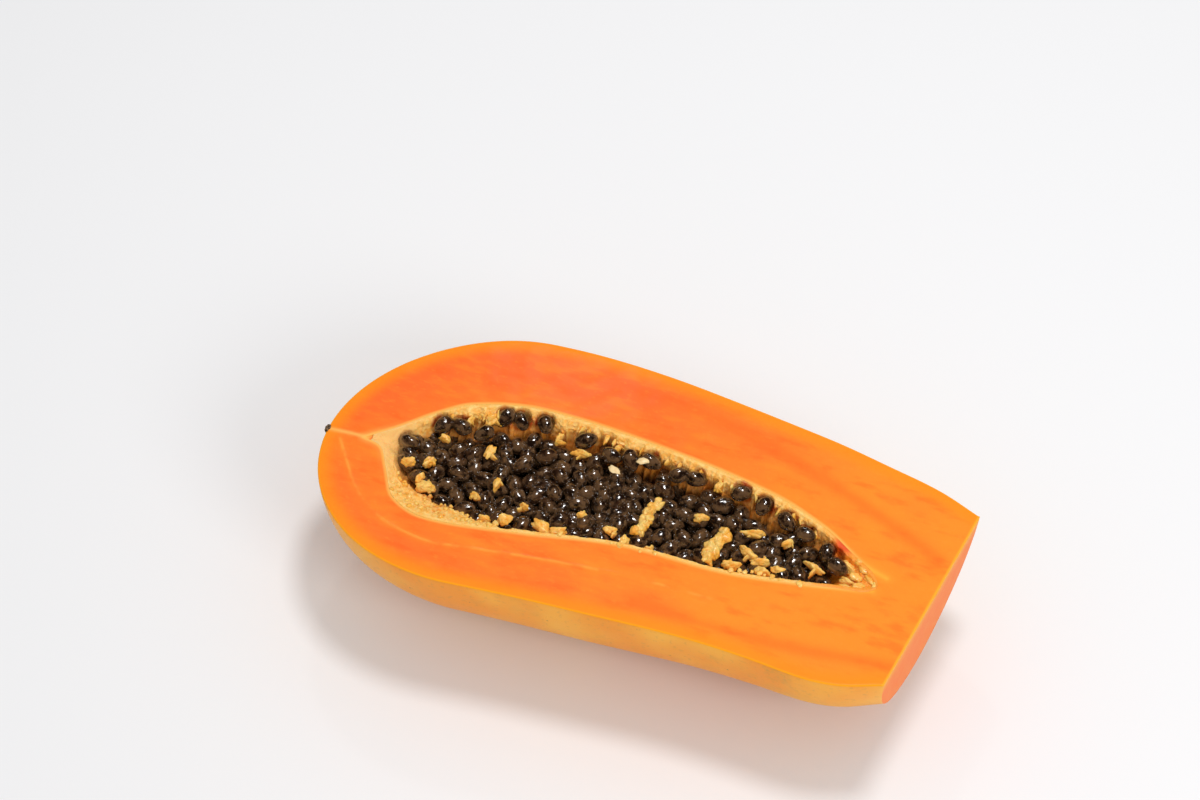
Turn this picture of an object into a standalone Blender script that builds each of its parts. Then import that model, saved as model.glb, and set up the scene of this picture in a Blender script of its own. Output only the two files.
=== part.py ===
"""Half a papaya, cut lengthwise through its seeds and trimmed at the stem end.

It lies on its rounded back with the cut face up. +X runs from the blossom tip to the trimmed end, and
the origin is under the middle of the fruit, on the surface that it lies on. Three pieces are built: the
flesh with its skin, the pale lining of the seed hollow, and the seeds. Sizes are in millimetres and
are turned into metres when a mesh becomes an object. Distances "along" are counted from the blossom
tip, and the cut face is at height 0 until the pieces are put in place.
"""
import math
import random

import bmesh
import bpy
import numpy as np
from mathutils import Euler, Matrix, Vector

MM = 0.001
GAP = 0.3                   # clearance between one piece and the next

# Driving sizes of the fruit
LENGTH = 210.8              # blossom tip to the trimmed end, along the middle
DOME = 60.0                 # length of the rounded blossom end
END_SKEW = math.radians(8.9)    # the trimmed end is not quite square to the length
END_LEAN = math.radians(3.0)    # and is undercut a little below
REST_DEPTH = 50.3           # cut face to the small flat spot that the fruit lies on
LOBES = 0.006               # share by which five soft lobes stand out of the round section
SCAR_RADIUS = 1.4           # the dry button where the flower sat
SCAR_HEIGHT = 1.2
PLACE = Vector((-107.3, -2.6, REST_DEPTH)) * MM     # where the blossom tip is, seen from the origin

# Curves through a few (distance along, size) points
HALF_WIDTH = [(0, 52.0), (60, 53.0), (100, 51.3), (140, 47.8), (180, 45.0), (196, 42.4), (211, 36.9)]
MIDDLE = [(0, -4.6), (20, -2.2), (50, 1.5), (85, 3.8), (130, 3.0), (160, 0.7), (185, -2.8), (211, -4.4)]
DEPTH_SHARE = [(0, 0.92), (60, 0.94), (100, 1.005), (140, 1.02), (180, 0.98), (211, 0.95)]

# The hollow in the flesh: its rim on the far side (+Y), its rim on the near side, and its depth
HOLLOW_FROM, HOLLOW_TO = 13.0, 192.0
FAR_RIM = [(13, -4.2), (22, 3.6), (32, 13.6), (42, 21.0), (65, 27.0), (110, 25.0), (150, 18.7),
           (170, 11.1), (181, 4.2), (192, -2.2)]
NEAR_RIM = [(13, -4.2), (20, -6.4), (25, -14.5), (31, -24.0), (44, -28.7), (75, -24.3), (108, -17.8),
            (145, -16.7), (170, -12.6), (181, -10.3), (192, -8.9)]
HOLLOW_DEPTH = [(13, 0.0), (20, 3.5), (28, 10.0), (42, 17.5), (62, 22.5), (85, 25.0), (115, 24.0),
                (150, 19.0), (172, 13.5), (184, 10.0), (192, 8.0)]
END_ROUND = 5.0             # length over which the hollow and the bed close at their ends

# The lining, and the bed in it that the seeds lie in
LINING_FROM, LINING_TO = 20.0, 191.0    # before it, the hollow is a bare groove in the flesh
BED_FROM, BED_TO = 23.0, 189.0
FAR_BAND = [(23, 2.4), (60, 3.4), (120, 3.0), (189, 1.6)]       # width of the rim band, far side
NEAR_BAND = [(23, 3.0), (36, 8.5), (50, 6.5), (72, 1.8), (189, 1.4)]
BED_FLOOR = [(23, 1.6), (60, 3.6), (140, 3.6), (189, 1.6)]      # lining left under the seeds
WALL_SLOPE = 1.25           # above 1, the bed's walls slope in below the rim
FOLD_HEIGHT = 0.7           # spongy folds down the bed's walls
FOLD_PITCH = 6.5

# Seeds
SEED_LENGTH = 7.2
SEED_WIDTH = 5.6
SEED_TAPER = 0.12           # one end is slimmer than the other
SEED_SPACING = 4.9          # between the middles of two seeds that touch
PILE_LEVEL = [(23, -4.2), (40, -4.6), (70, -5.2), (130, -5.2), (165, -4.6), (189, -3.9)]
CORE_DROP = 3.2             # top of the core, below the level of the highest seeds' middles
CORE_FILL = 0.7             # share of the bed's depth that it leaves free where the bed is shallow
SEED_SUNK = 0.2             # height of a seed's middle over the core, as a share of its radius
WALL_CLEARANCE = GAP + FOLD_HEIGHT + 0.2
NUDGE = 0.2                 # step by which a seed that meets a wall is moved away from it
MOST_NUDGES = 12
SPOTS_TRIED = 2000          # before a seed is dropped in the lowest of them
DRAW = 11                   # start of the seeded random draws

# Facets
SKIN_SIDES = 28
DOME_STATIONS = 11
SIDE_STATIONS = 21
HOLLOW_STATIONS = 34
HOLLOW_SIDES = 14
BED_STATIONS = 60
BED_SIDES = 14
SEED_SIDES = 6
SEED_RINGS = 4
CUTTER_RISE = 12.0          # cutters stand this far above the cut face


def smooth_curve(points, along):
    """Value, at a distance along, of the smooth curve through a few points."""
    along = min(max(along, points[0][0]), points[-1][0])
    last = len(points) - 1
    i = next(k for k in range(last) if along <= points[k + 1][0])
    (start, low), (end, high) = points[i], points[i + 1]
    before, after = points[max(i - 1, 0)], points[min(i + 2, last)]
    span = end - start
    slope_in = (high - before[1]) / (end - before[0]) * span
    slope_out = (after[1] - low) / (after[0] - start) * span
    t = (along - start) / span
    return (low * (2 * t ** 3 - 3 * t ** 2 + 1) + slope_in * (t ** 3 - 2 * t ** 2 + t)
            + high * (3 * t ** 2 - 2 * t ** 3) + slope_out * (t ** 3 - t ** 2))


def bent_sheet(cells_along, cells_across, place):
    """Sheet of squares with each corner where place(i, j) puts it, i along and j across."""
    sheet = bmesh.new()
    bmesh.ops.create_grid(sheet, x_segments=cells_along, y_segments=cells_across, size=0.5)
    for corner in sheet.verts:
        i = round((corner.co.x + 0.5) * cells_along)
        j = round((corner.co.y + 0.5) * cells_across)
        corner.co = place(i, j)
    bmesh.ops.remove_doubles(sheet, verts=sheet.verts, dist=0.01)
    return sheet


def open_edges(solid):
    return [edge for edge in solid.edges if edge.is_boundary]


def close_over(solid, edges):
    """Flat face inside a loop of edges."""
    return bmesh.ops.edgeloop_fill(solid, edges=edges)["faces"]


def close_arc(solid, edges):
    """Flat face between an arc of open edges and the line that joins its two ends in the cut face."""
    ends = [corner for edge in edges for corner in edge.verts if corner.co.z > -0.001]
    close_over(solid, edges + [solid.edges.new(ends)])


def below_cut_face(edge):
    return min(corner.co.z for corner in edge.verts) < -0.001


def make_material(name, color, roughness):
    material = bpy.data.materials.new(name)
    material.use_nodes = True
    finish = material.node_tree.nodes["Principled BSDF"]
    finish.inputs["Base Color"].default_value = (*color, 1.0)
    finish.inputs["Roughness"].default_value = roughness
    finish.inputs["Metallic"].default_value = 0.0
    return material


def make_object(name, solid, collection=None):
    """Object in its place, in metres, from a mesh in millimetres."""
    bmesh.ops.recalc_face_normals(solid, faces=solid.faces)
    bmesh.ops.scale(solid, vec=(MM, MM, MM), verts=solid.verts)
    mesh = bpy.data.meshes.new(name)
    solid.to_mesh(mesh)
    solid.free()
    mesh.shade_smooth()
    piece = bpy.data.objects.new(name, mesh)
    piece.location = PLACE
    (collection or bpy.context.scene.collection).objects.link(piece)
    return piece


def add_boolean(piece, operation, other):
    """Cut a piece by another object, which then only serves as a guide."""
    boolean = piece.modifiers.new(other.name, "BOOLEAN")
    boolean.operation = operation
    boolean.solver = "EXACT"
    boolean.object = other
    other.hide_render = True
    other.display_type = "WIRE"


# Half fruit, with its skin, before it is hollowed

def sideways(turn):
    return math.cos(turn)


def downwards(turn):
    """Share of the depth at a turn, exactly nothing at both edges of the cut face."""
    return round(math.sin(turn), 12)


def skin_point(along, turn):
    """Point of the skin: turn is 0 at the far edge, a quarter turn below, half a turn at the near edge."""
    round_end = math.sqrt(1 - max(0.0, 1 - along / DOME) ** 2)
    lobe = 1 + LOBES * downwards(turn) ** 2 * math.cos(5 * turn - math.pi / 2)
    half = smooth_curve(HALF_WIDTH, along) * round_end * lobe
    y = smooth_curve(MIDDLE, along) + half * sideways(turn)
    z = -half * smooth_curve(DEPTH_SHARE, along) * downwards(turn)
    slant = max(0.0, 2.5 * along / LENGTH - 1.5) ** 2
    return Vector((along + slant * (y * math.tan(END_SKEW) + z * math.tan(END_LEAN)), y, z))


def make_half_fruit():
    dome = [DOME * (1 - math.cos(math.pi / 2 * k / DOME_STATIONS)) for k in range(1, DOME_STATIONS)]
    side = [DOME + (LENGTH - DOME) * k / SIDE_STATIONS for k in range(SIDE_STATIONS + 1)]
    stations = [0.05] + dome + side
    scar_rings = [(-SCAR_HEIGHT, 0.0), (-SCAR_HEIGHT, 0.6 * SCAR_RADIUS), (-0.4 * SCAR_HEIGHT, SCAR_RADIUS)]

    def place(i, j):
        turn = math.pi * j / SKIN_SIDES
        if i >= len(scar_rings):
            return skin_point(stations[i - len(scar_rings)], turn)
        height, radius = scar_rings[i]
        return Vector((height, MIDDLE[0][1] + radius * sideways(turn), -radius * downwards(turn)))

    half = bent_sheet(len(stations) + len(scar_rings) - 1, SKIN_SIDES, place)
    close_arc(half, [edge for edge in open_edges(half) if below_cut_face(edge)])
    close_over(half, open_edges(half))
    whole = half.verts[:] + half.edges[:] + half.faces[:]
    cut = bmesh.ops.bisect_plane(half, geom=whole, plane_co=(0, 0, -REST_DEPTH), plane_no=(0, 0, -1),
                                 clear_outer=True)["geom_cut"]
    close_over(half, [item for item in cut if isinstance(item, bmesh.types.BMEdge)])
    return half


# Hollow and bed, both boat-shaped with their rims in the cut face

def rounding(from_end):
    """Share of the full section that is left close to an end."""
    return math.sqrt(1 - min(1.0, max(0.0, 1 - from_end / END_ROUND)) ** 2)


def hollow_point(along, turn, inset):
    far, near = smooth_curve(FAR_RIM, along), smooth_curve(NEAR_RIM, along)
    closing = rounding(HOLLOW_TO - along)
    half = max(0.0, (far - near) / 2 * closing - inset)
    depth = max(0.0, smooth_curve(HOLLOW_DEPTH, along) * closing - inset)
    return Vector((along, (far + near) / 2 + half * sideways(turn), -depth * downwards(turn)))


def bed_section(along):
    """Middle, half width and depth of the seeds' bed at a distance along."""
    far = smooth_curve(FAR_RIM, along) - smooth_curve(FAR_BAND, along)
    near = smooth_curve(NEAR_RIM, along) + smooth_curve(NEAR_BAND, along)
    depth = smooth_curve(HOLLOW_DEPTH, along) - smooth_curve(BED_FLOOR, along)
    closing = rounding(min(along - BED_FROM, BED_TO - along))
    return (far + near) / 2, (far - near) / 2 * closing, depth * closing


def bed_point(along, turn, inset, folds=0.0):
    middle, half, depth = bed_section(along)
    fold = folds * math.sin(2 * math.pi * along / FOLD_PITCH + 2 * math.sin(along / 9)) * downwards(2 * turn) ** 2
    half = max(0.0, half - inset + fold * min(1.0, half / FOLD_PITCH))
    depth = max(0.0, depth - inset)
    return Vector((along, middle + half * sideways(turn), -depth * downwards(turn) ** WALL_SLOPE))


def inside_bed(point, inset):
    """Whether a point below the cut face is inside the bed by more than an inset."""
    middle, half, depth = bed_section(point.x)
    half, depth = half - inset, depth - inset
    if min(half, depth) <= 0 or abs(point.y - middle) >= half:
        return False
    return point.z > -depth * (1 - ((point.y - middle) / half) ** 2) ** (WALL_SLOPE / 2)


def make_boat(stations, sides, point, rise):
    """Closed boat-shaped solid, with its top flat in the cut face or raised above it."""
    boat = bent_sheet(len(stations) - 1, sides, lambda i, j: point(stations[i], math.pi * j / sides))
    amidships = (stations[0] + stations[-1]) / 2
    for side in (-1, 1):
        arc = [edge for edge in open_edges(boat)
               if below_cut_face(edge) and (edge.verts[0].co.x - amidships) * side > 0]
        if arc:
            close_arc(boat, arc)
    top = close_over(boat, open_edges(boat))
    if rise:
        raised = bmesh.ops.extrude_face_region(boat, geom=top)["geom"]
        corners = [item for item in raised if isinstance(item, bmesh.types.BMVert)]
        bmesh.ops.translate(boat, vec=(0, 0, rise), verts=corners)
        bmesh.ops.delete(boat, geom=top, context="FACES_ONLY")
    return boat


def eased(first, last, count):
    """Distances from first to last, closer together at both ends."""
    return [first + (last - first) * (1 - math.cos(math.pi * k / count)) / 2 for k in range(count + 1)]


# Seeds

def core_top(along):
    return max(smooth_curve(PILE_LEVEL, along) - CORE_DROP, -CORE_FILL * bed_section(along)[2])


def wall_turn(depth, level):
    """Turn at which the bed's wall is at a level below the cut face."""
    return math.asin(min(1.0, max(0.0, -level / depth)) ** (1 / WALL_SLOPE))


def core_point(along, share):
    """Point of the core's underside, share 0 at its far edge and 1 at its near edge."""
    depth = bed_section(along)[2] - WALL_CLEARANCE
    start = wall_turn(depth, core_top(along)) if depth > 0 else 0.0
    return bed_point(along, start + (math.pi - 2 * start) * share, WALL_CLEARANCE)


def make_core():
    """Smooth body that fills the bed under the seeds."""
    stations = eased(BED_FROM + WALL_CLEARANCE, BED_TO - WALL_CLEARANCE, HOLLOW_STATIONS)
    core = bent_sheet(len(stations) - 1, HOLLOW_SIDES, lambda i, j: core_point(stations[i], j / HOLLOW_SIDES))
    bmesh.ops.triangle_fill(core, use_beauty=True, edges=open_edges(core))
    return core


def pile_of_seeds():
    """Middles of the seeds: each one drops where it comes to rest lowest, until the bed is full."""
    draw = np.random.RandomState(DRAW)
    radius = SEED_SPACING / 2
    reach = np.arange(BED_FROM + radius, BED_TO - radius, 0.5)
    middles, halves, depths = np.array([bed_section(along) for along in reach]).T
    levels = np.array([smooth_curve(PILE_LEVEL, along) for along in reach])
    floors = np.array([core_top(along) for along in reach]) + SEED_SUNK * radius
    seeds = np.empty((0, 3))
    while True:
        spot = draw.randint(len(reach), size=SPOTS_TRIED)
        across = draw.uniform(-1, 1, size=SPOTS_TRIED)
        x, y = reach[spot], middles[spot] + across * halves[spot]
        apart = (x[:, None] - seeds[:, 0]) ** 2 + (y[:, None] - seeds[:, 1]) ** 2
        on_seed = seeds[:, 2] + np.sqrt(np.maximum(SEED_SPACING ** 2 - apart, 0))
        touching = np.where(apart < SEED_SPACING ** 2, on_seed, floors[spot][:, None])
        rest = np.maximum(floors[spot], touching.max(axis=1, initial=-math.inf))
        wall_share = np.clip(-rest / depths[spot], 0, 1) ** (1 / WALL_SLOPE)
        room = halves[spot] * np.sqrt(1 - wall_share ** 2) - SEED_WIDTH / 2 - GAP
        above = np.where(np.abs(y - middles[spot]) < room, rest - levels[spot], math.inf)
        lowest = above.argmin()
        if above[lowest] > 0:
            return [Vector(seed) for seed in seeds]
        seeds = np.vstack([seeds, (x[lowest], y[lowest], rest[lowest])])


def make_seed(middle, draw):
    """Egg-shaped seed, turned at random and moved clear of the bed's walls, or None where it has no room."""
    seed = bmesh.new()
    bmesh.ops.create_uvsphere(seed, u_segments=SEED_SIDES, v_segments=SEED_RINGS, radius=1.0)
    for corner in seed.verts:
        slim = 1 - SEED_TAPER * corner.co.z
        corner.co = (corner.co.x * SEED_WIDTH / 2 * slim, corner.co.y * SEED_WIDTH / 2 * slim,
                     corner.co.z * SEED_LENGTH / 2)
    turned = Euler((draw.uniform(0, math.pi), draw.uniform(0, math.pi), draw.uniform(0, math.pi)))
    bmesh.ops.transform(seed, matrix=Matrix.Translation(middle) @ turned.to_matrix().to_4x4(), verts=seed.verts)
    along = min(max(middle.x, BED_FROM + SEED_LENGTH), BED_TO - SEED_LENGTH)
    inwards = Vector((along, bed_section(along)[0], middle.z / 2)) - middle
    for _ in range(MOST_NUDGES):
        if all(inside_bed(corner.co, WALL_CLEARANCE) for corner in seed.verts):
            return seed
        bmesh.ops.translate(seed, vec=inwards.normalized() * NUDGE, verts=seed.verts)
    seed.free()
    return None


def keep_largest_shell(mesh):
    """Drop the small closed shells that are left inside a fused body, which fills their hollows."""
    body = bmesh.new()
    body.from_mesh(mesh)
    shells, reached = [], set()
    for start in body.verts:
        if start in reached:
            continue
        shell, waiting = {start}, [start]
        while waiting:
            corner = waiting.pop()
            fresh = {edge.other_vert(corner) for edge in corner.link_edges} - shell
            shell |= fresh
            waiting.extend(fresh)
        reached |= shell
        shells.append(shell)
    shells.sort(key=len)
    for shell in shells[:-1]:
        bmesh.ops.delete(body, geom=list(shell), context="VERTS")
    body.to_mesh(mesh)
    body.free()


def fuse(piece, collection):
    """Join a collection's objects to a piece, for good, and remove them."""
    union = piece.modifiers.new("union", "BOOLEAN")
    union.operation = "UNION"
    union.solver = "MANIFOLD"
    union.operand_type = "COLLECTION"
    union.collection = collection
    shape = bpy.data.meshes.new_from_object(piece.evaluated_get(bpy.context.evaluated_depsgraph_get()))
    piece.modifiers.remove(union)
    keep_largest_shell(shape)
    piece.data = shape
    for other in list(collection.objects):
        bpy.data.objects.remove(other)
    bpy.data.collections.remove(collection)


for leftover in list(bpy.data.objects):
    bpy.data.objects.remove(leftover)

# Flesh and skin
flesh = make_object("flesh", make_half_fruit())
hollow_stations = eased(HOLLOW_FROM, HOLLOW_TO, HOLLOW_STATIONS)
hollow = make_boat(hollow_stations, HOLLOW_SIDES, lambda along, turn: hollow_point(along, turn, 0), CUTTER_RISE)
add_boolean(flesh, "DIFFERENCE", make_object("hollow_cutter", hollow))
flesh.data.materials.append(make_material("flesh", (0.99, 0.24, 0.035), 0.32))
flesh.data.materials.append(make_material("skin", (0.82, 0.38, 0.06), 0.45))
for face in flesh.data.polygons:
    on_skin = face.normal.z < 0.5 and face.normal.x < 0.9
    face.material_index = 1 if on_skin else 0

# Lining of the hollow
lining_stations = [along for along in hollow_stations if LINING_FROM < along < LINING_TO]
plug = make_boat(lining_stations, HOLLOW_SIDES, lambda along, turn: hollow_point(along, turn, GAP), 0)
lining = make_object("lining", plug)
bed_stations = eased(BED_FROM, BED_TO, BED_STATIONS)
bed = make_boat(bed_stations, BED_SIDES, lambda along, turn: bed_point(along, turn, 0, FOLD_HEIGHT), CUTTER_RISE)
add_boolean(lining, "DIFFERENCE", make_object("bed_cutter", bed))
lining.data.materials.append(make_material("lining", (0.95, 0.58, 0.2), 0.5))

# Seeds
seeds = make_object("seeds", make_core())
loose = bpy.data.collections.new("loose_seeds")
bpy.context.scene.collection.children.link(loose)
turning = random.Random(DRAW)
for number, middle in enumerate(pile_of_seeds()):
    seed = make_seed(middle, turning)
    if seed:
        make_object(f"seed_{number:03d}", seed, loose)
fuse(seeds, loose)
seeds.data.materials.clear()
seeds.data.materials.append(make_material("seeds", (0.035, 0.02, 0.012), 0.15))
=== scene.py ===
import functools
import math
import random

import bmesh
import bpy
import numpy as np
from mathutils import Euler, Matrix, Vector, noise
from mathutils.bvhtree import BVHTree
from mathutils.kdtree import KDTree


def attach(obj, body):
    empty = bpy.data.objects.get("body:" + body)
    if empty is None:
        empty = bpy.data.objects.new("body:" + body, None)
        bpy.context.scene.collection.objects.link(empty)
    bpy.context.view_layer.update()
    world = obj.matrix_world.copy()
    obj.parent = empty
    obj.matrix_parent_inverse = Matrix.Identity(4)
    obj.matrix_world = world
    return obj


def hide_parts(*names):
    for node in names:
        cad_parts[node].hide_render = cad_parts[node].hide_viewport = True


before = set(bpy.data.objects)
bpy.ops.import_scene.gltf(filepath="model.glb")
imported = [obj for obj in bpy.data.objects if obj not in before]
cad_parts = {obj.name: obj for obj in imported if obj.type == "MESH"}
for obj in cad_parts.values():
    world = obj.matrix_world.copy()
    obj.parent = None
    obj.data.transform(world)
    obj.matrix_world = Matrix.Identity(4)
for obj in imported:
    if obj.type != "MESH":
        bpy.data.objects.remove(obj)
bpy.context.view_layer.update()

# Half a papaya, cut face up: moist orange flesh in a thin yellow skin, round a hollow of wet dark seeds.
# Shapes are worked out in millimetres from the blossom tip, with the cut face at height 0, and are put
# in place in metres when a piece is made. "Along" is the distance from the tip to the trimmed end.

# Camera: it looks steeply down on the half from its near side, from just under a metre away, with the
# tip to the left and the trimmed end to the right.
CAMERA_EYE = Vector((283.6, -529.6, 742.9))         # from the blossom tip
CAMERA_TURN = math.radians(19.57)
CAMERA_DOWN = math.radians(51.0)
CAMERA_WIDTH = math.radians(24.0)
MM = 0.001
PLACE = Vector((-107.3, -2.6, 50.3))                # where the tip is, seen from the frame's origin

camera = bpy.data.objects.new("camera", bpy.data.cameras.new("camera"))
camera.location = (CAMERA_EYE + PLACE) * MM
camera.rotation_euler = (math.pi / 2 - CAMERA_DOWN, 0.0, CAMERA_TURN)
camera.data.sensor_fit = "HORIZONTAL"
camera.data.angle = CAMERA_WIDTH
camera.data.clip_start = 0.01
bpy.context.scene.collection.objects.link(camera)
bpy.context.scene.camera = camera

# Flesh and skin: the fruit grew as one piece. The skin is the outside of a round section with five
# soft lobes, and the knife left a flat cut face, a hollow and a trimmed end.
LENGTH = 210.8
DOME = 60.0                             # the tip is domed over this length
END_SKEW = math.radians(8.9)            # the trimmed end is cut askew, and leans
END_LEAN = math.radians(3.0)
SLANT_FROM = 0.6                        # share of the length past which sections turn to the end's slant
REST_DEPTH = 50.3                       # the underside is flat here, where the half lies on it
LOBES = 0.006
HALF_WIDTH = [(0, 52.0), (60, 53.0), (100, 51.3), (140, 47.8), (180, 45.0), (196, 42.4), (211, 36.9)]
MIDDLE = [(0, -4.6), (20, -2.2), (50, 1.5), (85, 3.8), (130, 3.0), (160, 0.7), (185, -2.8), (211, -4.4)]
DEPTH_SHARE = [(0, 0.92), (60, 0.94), (100, 1.005), (140, 1.02), (180, 0.98), (211, 0.95)]
HOLLOW_FROM, HOLLOW_TO = 13.0, 192.0
FAR_RIM = [(13, -4.2), (22, 3.6), (32, 13.6), (42, 21.0), (65, 27.0), (110, 25.0), (150, 18.7),
           (170, 11.1), (181, 4.2), (192, -2.2)]
NEAR_RIM = [(13, -4.2), (20, -6.4), (25, -14.5), (31, -24.0), (44, -28.7), (75, -24.3), (108, -17.8),
            (145, -16.7), (170, -12.6), (181, -10.3), (192, -8.9)]
HOLLOW_DEPTH = [(13, 0.0), (20, 3.5), (28, 10.0), (42, 17.5), (62, 22.5), (85, 25.0), (115, 24.0),
                (150, 19.0), (172, 13.5), (184, 10.0), (192, 8.0)]
END_ROUND = 5.0                         # the hollow's corners are rounded over this length

DOME_ROWS, SIDE_ROWS = 60, 170          # rows of squares along the skin
SKIN_SIDES = 100                        # squares round the skin, and across the trimmed end
FACE_RINGS = 70                         # rings of squares on the cut face
HOLLOW_SIDES = 24
END_RINGS = 24
SEAM_WELD = 0.02                        # corners nearer than this are one corner, where sheets meet
EDGE_DROP, EDGE_WIDTH = 0.35, 0.3       # the cut face rounds over at the skin
RIM_DROP, RIM_WIDTH = 0.08, 0.4         # and at the hollow
FACE_SWELL, CALM_STRIP = 0.16, 3.0      # unevenness that the knife left, and how far from an edge it is full
VEIN_RISE, VEIN_WIDTH = 0.07, 0.45
VEIN = [(4.5, -6.0), (9.9, -13.5), (16.5, -22.3), (22.0, -28.2), (30.0, -33.2), (40.0, -36.0),
        (50.0, -37.0), (66.0, -34.6), (84.0, -31.9), (102.0, -29.7), (118.0, -28.4), (133.0, -28.2),
        (147.0, -28.0)]
FAR_BAND_LINE = [(96, 46.0), (130, 40.8), (170, 27.8), (208, 11.3)]
NEAR_BAND_LINE = [(120, -37.5), (139, -38.1), (169, -37.7), (205, -33.5)]
CORE_LINE = [(1.0, -4.8), (7.5, -4.2), (14.0, -4.0)]
END_STREAKS = [[(178, 3.0), (185, 1.2), (194, -1.6)], [(170, -12.2), (182, -9.7), (191, -7.9)]]


@functools.lru_cache(maxsize=None)
def slopes(points):
    """Slope of the smooth curve at each of its points: that of the line past it between its neighbours."""
    before, after = (points[0], *points[:-1]), (*points[1:], points[-1])
    return [(high - low) / (end - start) for (start, low), (end, high) in zip(before, after)]


@functools.lru_cache(maxsize=None)
def smooth_value(points, along):
    along = min(max(along, points[0][0]), points[-1][0])
    i = next(k for k in range(len(points) - 1) if along <= points[k + 1][0])
    (start, low), (end, high) = points[i], points[i + 1]
    span = end - start
    rise_in, rise_out = slopes(points)[i] * span, slopes(points)[i + 1] * span
    t = (along - start) / span
    return (low * (2 * t ** 3 - 3 * t ** 2 + 1) + rise_in * (t ** 3 - 2 * t ** 2 + t)
            + high * (3 * t ** 2 - 2 * t ** 3) + rise_out * (t ** 3 - t ** 2))


def smooth_curve(points, along):
    """Value, at a distance along, of the smooth curve through a few points."""
    return smooth_value(tuple(points), along)


def ramp(value, start, span):
    """0 up to the start, 1 from a span past it, and straight between."""
    return min(1.0, max(0.0, (value - start) / span))


def eased(first, last, count):
    """Distances from first to last, closer together at both ends."""
    return [first + (last - first) * (1 - math.cos(math.pi * k / count)) / 2 for k in range(count + 1)]


def skin_point(along, turn):
    """Point of the skin: turn is 0 at the far edge, a quarter turn below, half a turn at the near edge."""
    round_end = math.sqrt(1 - max(0.0, 1 - along / DOME) ** 2)
    lobe = 1 + LOBES * math.sin(turn) ** 2 * math.cos(5 * turn - math.pi / 2)
    half = smooth_curve(HALF_WIDTH, along) * round_end * lobe
    y = smooth_curve(MIDDLE, along) + half * math.cos(turn)
    z = -half * smooth_curve(DEPTH_SHARE, along) * math.sin(turn)
    slant = max(0.0, (along / LENGTH - SLANT_FROM) / (1 - SLANT_FROM)) ** 2
    x = along + slant * (y * math.tan(END_SKEW) + z * math.tan(END_LEAN))
    return Vector((x, y, max(z, -REST_DEPTH)))


def rounding(from_end):
    """Share of the full width at a distance from a rounded end of the hollow."""
    return math.sqrt(1 - min(1.0, max(0.0, 1 - from_end / END_ROUND)) ** 2)


def hollow_point(along, turn):
    """Point of the hollow's wall, with the same turns as the skin's."""
    far, near = smooth_curve(FAR_RIM, along), smooth_curve(NEAR_RIM, along)
    closing = rounding(HOLLOW_TO - along)
    half = (far - near) / 2 * closing
    depth = smooth_curve(HOLLOW_DEPTH, along) * closing
    return Vector((along, (far + near) / 2 + half * math.cos(turn), -depth * math.sin(turn)))


def add_sheet(form, cells_along, cells_across, place, material=0):
    """Add a sheet of squares to a bmesh, with each corner where place(i, j) puts it."""
    sheet = bmesh.ops.create_grid(form, x_segments=cells_along, y_segments=cells_across, size=0.5)
    corners = sheet["verts"]
    for face in {face for corner in corners for face in corner.link_faces}:
        face.material_index = material
    for corner in corners:
        i = round((corner.co.x + 0.5) * cells_along)
        j = round((corner.co.y + 0.5) * cells_across)
        corner.co = place(i, j)


def make_piece(name, form, finishes, node=None, marks=None):
    """Piece in its place, in metres, from a bmesh in millimetres; marks are values kept at its corners."""
    bmesh.ops.recalc_face_normals(form, faces=form.faces)
    for corner in form.verts:
        corner.co = (corner.co + PLACE) * MM
    mesh = bpy.data.meshes.new(name)
    form.to_mesh(mesh)
    form.free()
    mesh.shade_smooth()
    for key, values in (marks or {}).items():
        mark = mesh.attributes.new(key, "FLOAT", "POINT")
        mark.data.foreach_set("value", np.asarray(values, dtype=np.float32))
    for finish in finishes:
        mesh.materials.append(finish.material)
    piece = bpy.data.objects.new(name, mesh)
    bpy.context.scene.collection.objects.link(piece)
    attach(piece, "root")
    if node:
        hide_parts(node)


def tree_of(points):
    """Search tree that gives the nearest of many points, its number and how far it is."""
    tree = KDTree(len(points))
    for index, point in enumerate(points):
        tree.insert(point, index)
    tree.balance()
    return tree


def line_tree(points, step=0.25):
    """Search tree of closely spaced points on a smooth line in the cut face."""
    reach = np.arange(points[0][0], points[-1][0], step)
    return tree_of([Vector((along, smooth_curve(points, along), 0)) for along in reach])


vein_tree = line_tree(VEIN, 0.1)
side_rows = [DOME + (LENGTH - DOME) * k / SIDE_ROWS for k in range(SIDE_ROWS + 1)]
dome_rows = [DOME * (1 - math.cos(math.pi / 2 * k / DOME_ROWS)) for k in range(DOME_ROWS)]
skin_rows = dome_rows + side_rows
rim_rows = eased(HOLLOW_FROM, HOLLOW_TO, len(skin_rows) - 1 + SKIN_SIDES // 2)
far_corner, near_corner = skin_point(LENGTH, 0.0), skin_point(LENGTH, math.pi)


def outer_edge(step):
    """Corner of the cut face's outline, from the tip along the far edge, over the end and back."""
    rows = len(skin_rows) - 1
    if step <= rows:
        return skin_point(skin_rows[step], 0.0)
    if step <= rows + SKIN_SIDES:
        return far_corner.lerp(near_corner, (step - rows) / SKIN_SIDES)
    return skin_point(skin_rows[2 * rows + SKIN_SIDES - step], math.pi)


def inner_edge(step):
    """Corner of the hollow's rim, in step with the outline."""
    rows = len(rim_rows) - 1
    if step <= rows:
        return hollow_point(rim_rows[step], 0.0)
    return hollow_point(rim_rows[2 * rows - step], math.pi)


ring_length = 2 * (len(rim_rows) - 1)
outline = [outer_edge(step) for step in range(ring_length + 1)]
inline = [inner_edge(step) for step in range(ring_length + 1)]


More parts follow.
